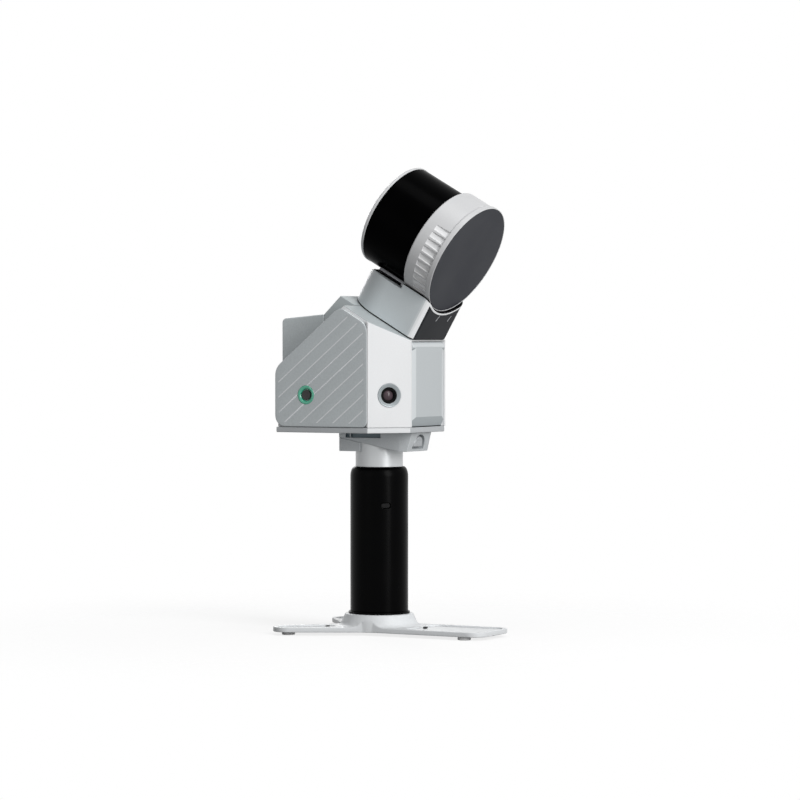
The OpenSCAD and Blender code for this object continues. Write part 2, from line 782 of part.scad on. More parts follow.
// cameras in the chamfered corners
module camera_bezels() color("gray") for (s = [-1, 1]) eye_frame(s) difference() {
  rod(bezel_r, -wall, 0.5);
  rod(barrel_eye_r + fit, -wall - 1, 0);
  translate([0, 0, -0.9]) cylinder(h = 1.5, r1 = barrel_eye_r + fit, r2 = bezel_r - 0.4);
}
module camera_barrels() color("black") for (s = [-1, 1]) eye_frame(s) difference() {
  rod(barrel_eye_r, -14, -0.9);
  translate([0, 0, -3]) cylinder(h = 3, r1 = 4.6, r2 = 6.4);
  rod(4.6, -10, -2);
}
module camera_lenses() color("black") for (s = [-1, 1]) eye_frame(s) {
  rod(4.6, -9, -4);
  translate([0, 0, -4]) intersection() {
    translate([0, 0, -7.4]) sphere(r = 8.7);
    rod(4.6, 0, 2);
  }
}
module camera_boards() color("green") for (s = [-1, 1]) eye_frame(s)
  translate([-11, -11, -14 - board_t]) cube([22, 22, board_t]);

// power button
module light_ring() color("lightgreen") button_frame() tube(light_r, button_r + gap, -0.2, cover_t);
module power_button() color("black") button_frame() {
  rod(button_r, 0.2, cover_t - button_travel - gap / 2);
  rod(2, cover_t - button_travel - gap / 2, cover_t + wall - button_travel);
}
module button_switch() color("dimgray") button_frame() difference() {
  z = body_w / 2 - side_x + wall;
  rod(6, z, z + 6);
  rod(2.6, z - 1, z + 2);
}

// neck
module neck_prism(m, z0, z1) {
  h = neck_w / 2 - m;
  f = neck_front - m;
  r = max(neck_front_r - m, 1);
  rod(h, z0, z1);
  plan_prism(rounded([[0, h], [f, h, r], [f, -h, r], [0, -h]]), z0, z1);
}
module neck_gasket() color("black") neck_frame() difference() {
  neck_prism(gasket_in, seal_gap, gasket_t);
  neck_prism(gasket_in + gasket_w, -1, gasket_t + 1);
}
// round bar along the scanner axis, from points on the neck axis
module along_head(r, f0, f1) {
  translate([0, 0, head_h]) rotate([90, 0, 0]) rod(r, f0, f1);
}
module panel_space(m) {
  intersection() {
    neck_prism(m, 0, cheek_top + 1);
    front_box(neck_front - panel_t, neck_front + 1, 0, cheek_top + 1, panel_w / 2);
  }
}
module neck_housing() color("lightgray") neck_frame() difference() {
  neck_prism(0, gasket_t, cheek_top);
  along_head(cradle_r, -neck_w, neck_w);
  side_prism([[-neck_w, notch_h - (cheek_f + neck_w) * tan(notch_slope)], [cheek_f, notch_h],
    [cheek_f, neck_w], [-neck_w, neck_w]], neck_w);
  difference() {
    neck_prism(wall + panel_t, 0, roof_h - roof_t);
    rod(boss_r, boss_z, roof_h);
  }
  rod(bearing_r, boss_z - 1, bearing_top);
  rod(shaft_r + 1, boss_z - 1, roof_h);
  difference() {
    panel_space(-1);
    along_head(panel_cut_r, 0, neck_w);
  }
  saddle_screw_places() rod(screw_r, 0, roof_h * 2);
}
module neck_panel() color("black") neck_frame() difference() {
  panel_space(0.2);
  rod(neck_w, -1, gasket_t);
  along_head(panel_cut_r, 0, neck_w);
}
module neck_bearing() color("gainsboro") neck_frame()
  tube(bearing_r, shaft_r + run, bearing_top - bearing_h, bearing_top);
module motor_magnets() color("dimgray") neck_frame() tube(magnet_r, magnet_in, boss_z - motor_h, boss_z);

// fixed shaft in the deck, on which the neck turns
module shaft_flange() color("gainsboro") neck_frame() tube(bearing_r, shaft_r, -wall, bearing_h - wall);
module drive_shaft() color("gainsboro") neck_frame() tube(shaft_r, 3, -wall - 1.5, shaft_top);
module motor_stator() color("darkorange") neck_frame() tube(stator_r, shaft_r, boss_z - motor_h, boss_z - 1);
module slip_ring() color("dimgray") neck_frame() difference() {
  union() {
    rod(bearing_r + 3, -wall - 2, -wall);
    rod(slip_r, -wall - slip_l, -wall - 1);
  }
  rod(shaft_r + gap, -wall - 3, 0);
}

// saddle in the cradle, which holds the scanner
module saddle_wedge(half) {
  d = neck_w * 2;
  translate([0, 0, head_h]) rotate([90, 0, 0]) translate([0, 0, -neck_w]) linear_extrude(2 * neck_w)
    polygon([[0, 0], [-d * sin(half), -d * cos(half)], [d * sin(half), -d * cos(half)]]);
}
module mount_pad() color("black") neck_frame() difference() {
  intersection() {
    along_head(cradle_r - fit, -neck_w, base_z - saddle_lap - fit);
    neck_prism(mount_pad_in, 0, notch_h);
    side_prism([[-neck_w, 0], [cheek_f, 0], [cheek_f, notch_h - mount_pad_drop],
      [-neck_w, notch_h - mount_pad_drop - (cheek_f + neck_w) * tan(notch_slope)]], neck_w);
  }
  along_head(saddle_out_r + fit, -neck_w, neck_w);
}
module saddle() color("silver") neck_frame() difference() {
  intersection() {
    union() {
      along_head(saddle_out_r, -saddle_rear, base_z + saddle_lap);
      along_head(cradle_r - fit, base_z - saddle_lap, saddle_front);
    }
    saddle_wedge(saddle_half);
  }
  along_head(saddle_in_r, -neck_w, base_z);
  along_head(shell_r + fit, base_z - fit, neck_w);
  saddle_screw_places() rod(screw_r, 0, saddle_screw_top);
}
module saddle_screw_places() {
  for (f = saddle_screw_f) for (s = [-1, 1]) translate([s * saddle_screw_side, -f, 0]) children();
}
module saddle_screws() color("dimgray") neck_frame() saddle_screw_places() {
  rod(screw_head_r, roof_h - roof_t - screw_head_h, roof_h - roof_t);
  rod(screw_r, roof_h - roof_t, saddle_screw_top);
}

// scanner
module scanner_base() color("whitesmoke") head_frame() difference() {
  rotate_extrude() polygon([[shell_hole_r, base_z], [shell_r - 1.4, base_z], [shell_r, base_z + 1.6],
    [shell_r, rim_z - 1.6], [rim_r, rim_z], [rim_r, base_end - rim_edge], [rim_r - rim_edge, base_end],
    [disc_r + fit, base_end], [disc_r + fit, disc_z], [shell_in_r, disc_z],
    [shell_in_r, base_z + shell_t], [shell_hole_r, base_z + shell_t]]);
  for (s = [-1, 1]) for (k = [0:fin_count - 1]) rotate(90 + s * (fin_first + k * fin_step))
    translate([shell_r - fin_d, -fin_gap / 2, fin_z]) cube([fin_gap * 2, fin_gap, fin_end - fin_z]);
}
module scanner_disc() color("dimgray") head_frame() rod(disc_r, disc_z, disc_z + disc_t);
module scanner_motor() color("dimgray") head_frame()
  tube(motor_r, spindle_r + run, disc_z - motor_l, disc_z);
module scanner_window() color("black") head_frame()
  tube(window_r - 0.4, window_r - window_wall, window_z, base_z);
module scanner_cap() color("lightgray") head_frame() rotate_extrude() polygon([[0, cap_z],
  [window_r - 2.4, cap_z], [window_r, cap_z + 1.6], [window_r, window_z], [0, window_z]]);
module scanner_core() color("dimgray") head_frame() {
  z1 = disc_z - motor_l;
  rod(core_r, window_z + 3, base_z - 2);
  rod(12, base_z - 2, z1 - 1);
  rod(spindle_r, z1 - 1, disc_z - 1.6);
}

base_plate();
foot_pads();
centre_point();
base_screws();
handle_tube();
handle_plug();
cell_holders();
battery_cells();
battery_board();
handle_head();
grip_sleeve();
grip_ring();
latch_button();
clamp_block();
clamp_yoke();
release_button();
dovetail_plate();
plate_screws();
bottom_tray();
chassis();
main_board();
heat_sink();
storage_module();
main_casing();
left_cover();
right_cover();
rear_cover();
rear_screws();
port_panel();
port_sockets();
front_cover();
hinge_pin();
camera_bezels();
camera_barrels();
camera_lenses();
camera_boards();
light_ring();
power_button();
button_switch();
neck_gasket();
neck_housing();
neck_panel();
motor_stator();
shaft_flange();
neck_bearing();
slip_ring();
drive_shaft();
motor_magnets();
mount_pad();
saddle();
saddle_screws();
scanner_base();
scanner_disc();
scanner_motor();
scanner_window();
scanner_cap();
scanner_core();
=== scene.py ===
import json
import math

import bmesh
import bpy
from mathutils import Matrix, Vector


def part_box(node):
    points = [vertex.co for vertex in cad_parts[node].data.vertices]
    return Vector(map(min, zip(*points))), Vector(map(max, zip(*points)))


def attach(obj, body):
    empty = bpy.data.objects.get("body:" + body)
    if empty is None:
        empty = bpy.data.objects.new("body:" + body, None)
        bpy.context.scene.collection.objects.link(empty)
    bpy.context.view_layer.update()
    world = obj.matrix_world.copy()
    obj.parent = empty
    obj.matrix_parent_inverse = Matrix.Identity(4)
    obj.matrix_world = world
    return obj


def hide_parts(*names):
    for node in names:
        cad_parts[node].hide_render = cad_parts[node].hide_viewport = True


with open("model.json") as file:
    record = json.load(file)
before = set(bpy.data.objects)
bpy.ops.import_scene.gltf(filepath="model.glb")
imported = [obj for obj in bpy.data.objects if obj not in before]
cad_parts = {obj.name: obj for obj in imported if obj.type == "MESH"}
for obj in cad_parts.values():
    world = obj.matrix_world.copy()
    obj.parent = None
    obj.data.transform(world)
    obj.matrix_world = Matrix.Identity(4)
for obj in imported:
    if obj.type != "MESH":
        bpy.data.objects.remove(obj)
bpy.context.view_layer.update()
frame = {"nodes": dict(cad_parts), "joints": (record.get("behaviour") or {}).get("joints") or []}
cad = frame["nodes"]
MM = 0.001

# Base plate: a cast alloy foot with one wide front leg, two rear legs and a hub for the handle.
# The casting is blasted, sprayed satin white and rounded along every edge that a hand can reach.
WELD = 0.002 * MM


def split(mesh):
    """Cuts the faces with more than four corners into triangles."""
    large = [face for face in mesh.faces if len(face.verts) > 4]
    bmesh.ops.triangulate(mesh, faces=large, quad_method="BEAUTY", ngon_method="BEAUTY")


def opened(data):
    """Reads a mesh for editing."""
    mesh = bmesh.new()
    mesh.from_mesh(data)
    return mesh


def merged(node):
    """Reads a CAD node's solid, with its flat faces joined up again."""
    mesh = opened(cad[node].data)
    bmesh.ops.remove_doubles(mesh, verts=mesh.verts, dist=WELD)
    flat = math.radians(0.2)
    bmesh.ops.dissolve_limit(mesh, angle_limit=flat, verts=mesh.verts, edges=mesh.edges)
    split(mesh)
    return mesh


def made(name, mesh):
    """Turns an edited mesh into an object of the scene."""
    data = bpy.data.meshes.new(name)
    mesh.to_mesh(data)
    mesh.free()
    piece = bpy.data.objects.new(name, data)
    bpy.context.scene.collection.objects.link(piece)
    return piece


def plain(piece):
    """Puts what the modifiers make of a piece in place of its mesh."""
    graph = bpy.context.evaluated_depsgraph_get()
    data = bpy.data.meshes.new_from_object(
        piece.evaluated_get(graph), preserve_all_data_layers=True, depsgraph=graph)
    piece.modifiers.clear()
    old, piece.data = piece.data, data
    bpy.data.meshes.remove(old)
    data.name = piece.name
    return piece


def smoothed(piece, sharp=38):
    """Shades a piece smooth over edges of less than sharp degrees."""
    piece.data.shade_smooth()
    piece.data.set_sharp_from_angle(angle=math.radians(sharp))
    weigh = piece.modifiers.new("weigh", "WEIGHTED_NORMAL")
    weigh.keep_sharp = True
    return plain(piece)


def eased(name, mesh, width, share=None, segments=3, least=30, sharp=38):
    """Makes a piece with its outer edges of over least degrees rounded by a width in mm."""
    weight = mesh.edges.layers.float.new("bevel_weight_edge")
    for edge in mesh.edges:
        if len(edge.link_faces) == 2 and edge.is_convex:
            if edge.calc_face_angle() > math.radians(least):
                middle = (edge.verts[0].co + edge.verts[1].co) / 2 / MM
                edge[weight] = share(middle, edge) if share else 1.0
    piece = made(name, mesh)
    ease = piece.modifiers.new("ease", "BEVEL")
    ease.width = width * MM
    ease.segments = segments
    ease.limit_method = "WEIGHT"
    ease.use_clamp_overlap = False
    ease.loop_slide = False
    ease.miter_outer = "MITER_ARC"
    return smoothed(plain(piece), sharp)


def dressed(piece, body, slot, material, *replaced):
    """Gives a piece its material and body, and hides the CAD nodes that it replaces; slot is not
    used.
    """
    piece.data.materials.clear()
    piece.data.materials.append(material)
    for face in piece.data.polygons:
        face.material_index = 0
    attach(piece, body)
    if replaced:
        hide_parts(*replaced)
    return piece


def wire(tree, kind, inputs, **settings):
    """Adds a node, with each input linked to a socket or set to a constant."""
    node = tree.nodes.new(kind)
    for key, value in settings.items():
        setattr(node, key, value)
    for key, value in inputs.items():
        if isinstance(value, bpy.types.NodeSocket):
            tree.links.new(value, node.inputs[key])
        else:
            node.inputs[key].default_value = value
    return node


def maths(tree, operation, *values):
    return wire(tree, "ShaderNodeMath", dict(enumerate(values)), operation=operation).outputs[0]


def noise(tree, where, scale, detail, **more):
    inputs = {"Vector": where, "Scale": scale, "Detail": detail, **more}
    return wire(tree, "ShaderNodeTexNoise", inputs).outputs[0]


def new_finish(name, **constants):
    """Starts a material, with constants for the shader's sockets of those names."""
    material = bpy.data.materials.new(name)
    material.use_nodes = True
    tree = material.node_tree
    shader = tree.nodes["Principled BSDF"]
    for key, value in constants.items():
        shader.inputs[key.replace("_", " ")].default_value = value
    where = tree.nodes.new("ShaderNodeTexCoord").outputs["Object"]
    return material, tree, shader, where


def shade(colour, share):
    return tuple(min(1.0, c * share) for c in colour)


def tinted(tree, shader, factor, stops, mark=None):
    """Colours a finish by stops of a factor, and its marked faces by one more colour."""
    node = wire(tree, "ShaderNodeValToRGB", {"Fac": factor})
    elements = node.color_ramp.elements
    for i, (place, colour) in enumerate(stops):
        element = elements[i] if i < 2 else elements.new(place)
        element.position = place
        element.color = (*colour, 1.0)
    tint = node.outputs["Color"]
    if mark:
        # Sockets 6 and 7, and output 2, are the colours of a mix node.
        share = wire(tree, "ShaderNodeAttribute", {}, attribute_name="mark").outputs["Fac"]
        mix = {0: share, 6: tint, 7: (*mark, 1.0)}
        tint = wire(tree, "ShaderNodeMix", mix, data_type="RGBA").outputs[2]
    tree.links.new(tint, shader.inputs["Base Color"])


def roughened(tree, shader, factor, rough, spread):
    span = {"Value": factor, "From Min": 0.3, "From Max": 0.7,
            "To Min": rough - spread, "To Max": rough + spread}
    tree.links.new(wire(tree, "ShaderNodeMapRange", span).outputs[0], shader.inputs["Roughness"])


def raised(tree, shader, height, strength, depth):
    rise = {"Height": height, "Strength": strength, "Distance": depth * MM}
    tree.links.new(wire(tree, "ShaderNodeBump", rise).outputs[0], shader.inputs["Normal"])


def satin_paint(name, colour, rough=0.45, grain=900.0, spread=0.05, bump=0.25, level=0.35,
                mark=None):
    material, tree, shader, where = new_finish(name, Specular_IOR_Level=level)
    fine = noise(tree, where, scale=grain, detail=3.0)
    broad = noise(tree, where, scale=22.0, detail=2.0)
    both = maths(tree, "MULTIPLY_ADD", broad, 0.35, fine)
    stops = [(0.35, shade(colour, 1 - spread)), (0.65, colour), (1.0, shade(colour, 1 + spread))]
    tinted(tree, shader, both, stops, mark)
    roughened(tree, shader, broad, rough, spread=0.05)
    raised(tree, shader, fine, strength=bump, depth=0.06)
    return material


base_paint = satin_paint("base_satin_white", (0.76, 0.78, 0.795), rough=0.42, grain=1300.0)
plate = eased("foot_casting", merged("base_plate"), width=0.8)
dressed(plate, "stand", "base_paint", base_paint, "base_plate")

# Foot pads: four soft white silicone discs glued under the legs.
# They are moulded, with a small round edge, and the silicone has a fine dull grain.


def dull_rubber(name, colour, rough, grain, bump, level=0.2):
    material, tree, shader, where = new_finish(name, Specular_IOR_Level=level)
    pores = noise(tree, where, scale=grain, detail=5.0, Roughness=0.65)
    wear = noise(tree, where, scale=35.0, detail=3.0)
    tinted(tree, shader, pores, [(0.3, shade(colour, 0.7)), (0.7, shade(colour, 1.35))])
    roughened(tree, shader, wear, rough, spread=0.06)
    raised(tree, shader, pores, strength=bump, depth=0.08)
    return material


pad_rubber = dull_rubber("pad_silicone", (0.80, 0.81, 0.82), rough=0.6, grain=1500.0, bump=0.3)
pads = eased("rubber_pads", merged("foot_pads"), width=0.7)
dressed(pads, "stand", "pad_rubber", pad_rubber, "foot_pads")

# Centre point: a turned steel cone under the hub, to set the scanner over a mark on the ground.
# It screws up into the hub, and its tip is blunted.


def turned_metal(name, colour, rough, axis=(0.0, 0.0, 1.0), lines=2500.0, metal=1.0, spread=0.12):
    material, tree, shader, where = new_finish(name, Metallic=metal)
    along = wire(tree, "ShaderNodeVectorMath", {0: where, 1: axis}, operation="DOT_PRODUCT")
    cuts = wire(tree, "ShaderNodeTexNoise", {
        "W": along.outputs["Value"], "Scale": lines, "Detail": 4.0},
        noise_dimensions="1D").outputs[0]
    haze = noise(tree, where, scale=60.0, detail=3.0)
    tinted(tree, shader, cuts, [(0.3, shade(colour, 1 - spread)), (0.7, shade(colour, 1 + spread))])
    roughened(tree, shader, haze, rough, spread=0.05)
    raised(tree, shader, cuts, strength=0.12, depth=0.03)
    return material


dark_steel = turned_metal("dark_turned_steel", (0.09, 0.09, 0.095), rough=0.38)
point = eased("point_cone", merged("centre_point"), width=0.3, least=50)
dressed(point, "stand", "dark_steel", dark_steel, "centre_point")

# Base screws: small black cap screws with a six-sided socket, sunk in the top of each leg.
# They hold the pads' inserts; the scanner's other cap screws are of the same kind, and one tree
# of nodes makes them all.


def solids(node):
    """Lists the corners of each separate solid of a node."""
    mesh = merged(node)
    mesh.verts.index_update()
    seen, groups = set(), []
    for start in mesh.verts:
        if start.index in seen:
            continue
        group, waiting = [], [start]
        seen.add(start.index)
        while waiting:
            vert = waiting.pop()
            group.append(vert.co.copy())
            for edge in vert.link_edges:
                other = edge.other_vert(vert)
                if other.index not in seen:
                    seen.add(other.index)
                    waiting.append(other)
        groups.append(group)
    mesh.free()
    return groups


def new_tree(name, sizes):
    """Starts a tree of geometry nodes that takes places and sizes."""
    tree = bpy.data.node_groups.new(name, "GeometryNodeTree")
    tree.interface.new_socket("Places", in_out="INPUT", socket_type="NodeSocketGeometry")
    for label, kind in sizes:
        tree.interface.new_socket(label, in_out="INPUT", socket_type="NodeSocket" + kind)
    tree.interface.new_socket("Result", in_out="OUTPUT", socket_type="NodeSocketGeometry")
    return tree, tree.nodes.new("NodeGroupInput").outputs, tree.nodes.new("NodeGroupOutput").inputs


def vector(tree, **parts):
    return wire(tree, "ShaderNodeCombineXYZ", parts).outputs[0]


def cylinder(tree, sides, radius, depth):
    size = {"Vertices": sides, "Radius": radius, "Depth": depth}
    return wire(tree, "GeometryNodeMeshCylinder", size).outputs["Mesh"]


def moved(tree, shape, **change):
    return wire(tree, "GeometryNodeTransform", {"Geometry": shape, **change}).outputs[0]


def cut_out(tree, shape, tool):
    return wire(tree, "GeometryNodeMeshBoolean", {"Mesh 1": shape, "Mesh 2": tool},
                operation="DIFFERENCE", solver="EXACT").outputs[0]


def aligned(tree, way, **axes):
    return wire(tree, "FunctionNodeAlignRotationToVector", {"Vector": way}, **axes).outputs[0]


def repeated(tree, shape, places, **how):
    every = wire(tree, "GeometryNodeInstanceOnPoints", {"Points": places, "Instance": shape, **how})
    return wire(tree, "GeometryNodeRealizeInstances", {"Geometry": every.outputs[0]}).outputs[0]


def screw_tree():
    tree, given, result = new_tree("cap_screws", [
        ("Head radius", "Float"), ("Head height", "Float"), ("Socket radius", "Float"),
        ("Socket depth", "Float"), ("Shank radius", "Float"), ("Shank length", "Float"),
        ("Outward", "Vector")])
    half = maths(tree, "MULTIPLY", given["Head height"], -0.5)
    head = cylinder(tree, sides=40, radius=given["Head radius"], depth=given["Head height"])
    head = moved(tree, head, Translation=vector(tree, Z=half))
    deep = maths(tree, "MULTIPLY", given["Socket depth"], 2.0)
    hexagon = cylinder(tree, sides=6, radius=given["Socket radius"], depth=deep)
    cup = cut_out(tree, head, hexagon)
    shank = cylinder(tree, sides=24, radius=given["Shank radius"], depth=given["Shank length"])
    drop = maths(tree, "MULTIPLY_ADD", given["Shank length"], -0.5, half)
    drop = maths(tree, "ADD", drop, half)
    shank = moved(tree, shank, Translation=vector(tree, Z=drop))
    screw = tree.nodes.new("GeometryNodeJoinGeometry")
    tree.links.new(cup, screw.inputs[0])
    tree.links.new(shank, screw.inputs[0])
    turn = aligned(tree, given["Outward"], axis="Z")
    every = repeated(tree, screw.outputs[0], given["Places"], Rotation=turn)
    tree.links.new(every, result["Result"])
    return tree


def grown(name, mesh, tree, sizes):
    """Makes a piece with a tree of nodes from a mesh and sizes for its sockets."""
    piece = made(name, mesh)
    grow = piece.modifiers.new("grow", "NODES")
    grow.node_group = tree
    for socket in tree.interface.items_tree:
        if socket.in_out == "INPUT" and socket.name in sizes:
            grow[socket.identifier] = sizes[socket.name]
    return plain(piece)


def softer(piece, width, least=35):
    """Makes a grown piece again with its edges rounded by a width in mm."""
    mesh = opened(piece.data)
    bmesh.ops.remove_doubles(mesh, verts=mesh.verts, dist=WELD)
    split(mesh)
    name = piece.name
    bpy.data.objects.remove(piece)
    return eased(name, mesh, width, segments=2, least=least)


def points(places):
    mesh = bmesh.new()
    for place in places:
        mesh.verts.new(place)
    return mesh


def screws(name, node, outward, head_r, head_h, socket_r):
    """Makes a cap screw at each solid of a node, with the head's sizes in mm."""
    socket_share, shank_share = 0.6, 0.55
    outward = Vector(outward).normalized()
    tops, length = [], 0.0
    for group in solids(node):
        heights = [co.dot(outward) for co in group]
        middle = sum(group, Vector()) / len(group)
        tops.append(middle + outward * (max(heights) - middle.dot(outward)))
        length = max(heights) - min(heights)
    return softer(grown(name, points(tops), caps, {
        "Head radius": head_r * MM, "Head height": head_h * MM, "Socket radius": socket_r * MM,
        "Socket depth": head_h * socket_share * MM, "Shank radius": head_r * shank_share * MM,
        "Shank length": length - head_h * MM, "Outward": outward}), width=0.12)


caps = screw_tree()
screw_black = turned_metal("black_oxide_screw", (0.045, 0.045, 0.048), rough=0.42, lines=3500.0)
leg_screws = screws("leg_screws", "base_screws", (0, 0, 1), head_r=2.1, head_h=1.4, socket_r=1.15)
dressed(leg_screws, "stand", "dark_steel", screw_black, "base_screws")

# Handle tube: a drawn alloy tube from the hub up into the clamp, seen as the bare collar.
# It is turned with very fine lines, clear anodised and left silver.
collar_metal = turned_metal("anodised_collar", (0.64, 0.66, 0.67), rough=0.36, lines=1800.0,
                            spread=0.05, metal=0.2)
tube = eased("handle_tube_turned", merged("handle_tube"), width=0.2, least=60)
dressed(tube, "stand", "handle_metal", collar_metal, "handle_tube")

# Grip: a moulded soft sleeve pressed over the tube, with a round shoulder and a thin ring below it.
# Sleeve and ring are of one black rubber with a fine satin grain.
grip_rubber = dull_rubber("grip_rubber", (0.0006, 0.0006, 0.0007), rough=0.27, grain=1100.0,
                          bump=0.08, level=0.03)
sleeve = eased("grip_sleeve_moulded", merged("grip_sleeve"), width=0.5, least=45)
dressed(sleeve, "stand", "grip_rubber", grip_rubber, "grip_sleeve")
foot_ring = eased("grip_foot_ring", merged("grip_ring"), width=0.4, least=45)
dressed(foot_ring, "stand", "grip_rubber", grip_rubber, "grip_ring")

# Grip button: a small oval rubber key, let into the grip, that works the battery catch.
# It moves with its own body, and its face is paler and duller than the sleeve.
key_rubber = dull_rubber("grip_key_rubber", (0.003, 0.003, 0.0032), rough=0.5, grain=1700.0,
                         bump=0.15, level=0.1)
grip_key = eased("grip_key", merged("latch_button"), width=0.6, least=45)
dressed(grip_key, "latch", "grip_rubber", key_rubber, "latch_button")

# Quick release: a milled clamp block under the body, with a side slot, and a yoke on the collar.
# Both are blasted alloy, anodised grey, with broken edges; the faces inside the slot carry a
# painted shade.


def blasted_metal(name, colour, rough, grain=1600.0, metal=0.75, mark=None):
    material, tree, shader, where = new_finish(name, Metallic=metal)
    grit = noise(tree, where, scale=grain, detail=4.0, Roughness=0.7)
    cloud = noise(tree, where, scale=30.0, detail=2.0)
    tinted(tree, shader, grit, [(0.32, shade(colour, 0.9)), (0.68, shade(colour, 1.1))], mark)
    roughened(tree, shader, cloud, rough, spread=0.05)
    raised(tree, shader, grit, strength=0.3, depth=0.04)
    return material


def mark_faces(piece, test):
    """Marks each face by a test on its centre, in mm, and the way that it faces."""
    marks = piece.data.attributes.new("mark", "FLOAT", "FACE")
    for face in piece.data.polygons:
        marks.data[face.index].value = float(test(face.center / MM, face.normal))


# Its second colour is the painted shade of the side slot.
clamp_metal = blasted_metal("clamp_blasted", (0.50, 0.525, 0.54), rough=0.5, metal=0.15,
                            mark=(0.15, 0.19, 0.215))
block = eased("clamp_block_milled", merged("clamp_block"), width=0.5)
block_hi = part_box("clamp_block")[1] / MM
slot_in, slot_out, slot_z = block_hi.x - 2.9, block_hi.x - 0.4, block_hi.z - 5.2
# The faces inside the side slot take the dark second colour, a painted shade.
mark_faces(block, lambda at, way: slot_in < abs(at.x) < slot_out and at.z > slot_z)
dressed(block, "stand", "clamp_metal", clamp_metal, "clamp_block")
yoke = eased("clamp_yoke_milled", merged("clamp_yoke"), width=0.6)
dressed(yoke, "stand", "clamp_metal", clamp_metal, "clamp_yoke")

# Release button: an arched alloy key sunk in the clamp's sloped nose, pressed to free the body.
# It is milled with a round edge, smaller than its pocket, and rows of small studs keep the finger
# on it.


def facing(centre, outward, across):
    """Builds a frame at a centre, with its Z axis outward and its X axis near across."""
    z = Vector(outward).normalized()
    x = (Vector(across) - z * z.dot(Vector(across))).normalized()
    y = z.cross(x)
    return Matrix((
        (x.x, y.x, z.x, centre[0]), (x.y, y.y, z.y, centre[1]), (x.z, y.z, z.z, centre[2]),
        (0, 0, 0, 1)))


def joint_frame(name):
    joint = next(j for j in frame["joints"] if j["name"] == name)
    return facing(joint.get("pos_m") or (0, 0, 0), joint["axis"], (1, 0, 0))


def stud_tree():
    tree, given, result = new_tree("key_studs", [
        ("Stud radius", "Float"), ("Stud height", "Float"), ("Outward", "Vector")])
    ball = wire(tree, "GeometryNodeMeshUVSphere", {
        "Segments": 16, "Rings": 8, "Radius": given["Stud radius"]}).outputs["Mesh"]
    flat = maths(tree, "DIVIDE", given["Stud height"], given["Stud radius"])
    low = vector(tree, X=1.0, Y=1.0, Z=flat)
    turn = aligned(tree, given["Outward"], axis="Z")
    every = repeated(tree, ball, given["Places"], Rotation=turn, Scale=low)
    tree.links.new(every, result["Result"])
    return tree


release_metal = blasted_metal("release_key_metal", (0.42, 0.44, 0.455), rough=0.42, grain=2200.0,
                              metal=0.2)
at_press = joint_frame("release_press")
key_mesh = merged("release_button")
key_mesh.transform(at_press.inverted())
rows = [[vert.co[i] for vert in key_mesh.verts] for i in range(3)]
middle = [(min(row) + max(row)) / 2 for row in rows]
key_share, key_face = 0.78, min(rows[2])
for vert in key_mesh.verts:
    for i in (0, 1):
        vert.co[i] = middle[i] + (vert.co[i] - middle[i]) * key_share
key_mesh.transform(at_press)
release_key = eased("release_key", key_mesh, width=1.4, segments=4)
dressed(release_key, "release", "clamp_metal", release_metal, "release_button")
stud_step = 1.7 * MM
spots = [at_press @ Vector((middle[0] + i * stud_step, middle[1] + j * stud_step, key_face))
         for i in (-2, -1, 0, 1, 2) for j in (-1, 0, 1)]
studs = grown("release_studs", points(spots), stud_tree(), {
    "Stud radius": 0.55 * MM, "Stud height": 0.3 * MM, "Outward": -at_press.col[2].to_3d()})
studs.data.shade_smooth()
dressed(studs, "release", "clamp_metal", release_metal)

# Bottom tray: the moulded floor of the body, fixed to the dovetail plate that slides in the clamp.
# It is painted light grey; its faces below the casing's two chamfered corners are painted white, a
# painted light.
tray_grey = satin_paint("tray_grey_paint", (0.48, 0.50, 0.515), rough=0.45,
                        mark=(0.76, 0.775, 0.785))
tray = eased("tray_moulded", merged("bottom_tray"), width=0.8)
# The faces turned towards the front corners take the white of the painted light.
chamfer_way = 0.4
mark_faces(tray, lambda at, way: abs(way.x) > chamfer_way and way.y < -chamfer_way)
dressed(tray, "stand", "body_grey", tray_grey, "bottom_tray")

# Main casing: the white shell with two chamfered front corners, a sloped deck and the hump behind.
# It is moulded in one piece and painted satin white; the deck and the hump are painted grey, a
# painted shade.
body_white = satin_paint("casing_white_paint", (0.78, 0.79, 0.80), rough=0.4, grain=1500.0,
                         spread=0.03, bump=0.15, mark=(0.47, 0.51, 0.52))
casing = eased("casing_moulded", merged("main_casing"), width=0.8)
door_lo, door_hi = (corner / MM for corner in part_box("front_cover"))
deck_z, hump_z = door_hi.z + 4, door_hi.z + 22
# Faces above the deck line that turn upwards, and all faces above the hump line, take the grey of
# the painted shade.
mark_faces(casing, lambda at, way: at.z > hump_z or (at.z > deck_z and way.z > 0.3))
dressed(casing, "stand", "body_white", body_white, "main_casing")

# Side covers: grey textured panels, one on each side, with eight fine slanted grooves cut in them.
# They clip into the casing; the mould leaves a sandy grain; the grooves carry a painted highlight.
cover_grey = satin_paint("cover_grey_paint", (0.55, 0.59, 0.605), rough=0.5, grain=650.0,
                         spread=0.08, bump=0.45, level=0.3, mark=(0.84, 0.86, 0.88))
ring_centre = sum(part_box("light_ring"), Vector()) / 2 / MM
ring_keep, groove_area, border = 12, 0.6 * MM * MM, 3
steepest, flattest = 0.3, 0.93


def rim_only(at, edge):
    """Leaves the edges of the grooves and of the ring's hole as they are."""
    return float((at - ring_centre).length > ring_keep and all(
        abs(face.normal.x) > 0.5 or face.calc_area() > groove_area for face in edge.link_faces))


def in_groove(at, way):
    inside = lo.y + border < at.y < hi.y - border and lo.z + border < at.z < hi.z - border
    return inside and steepest < abs(way.x) < flattest


for name, node in (("left_cover_grooved", "left_cover"), ("right_cover_grooved", "right_cover")):
    lo, hi = (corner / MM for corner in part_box(node))
    cover = eased(name, merged(node), width=0.8, least=60, share=rim_only)
    # The walls of the grooves take the pale colour of the painted highlight.
    mark_faces(cover, in_groove)
    dressed(cover, "stand", "body_grey", cover_grey, node)

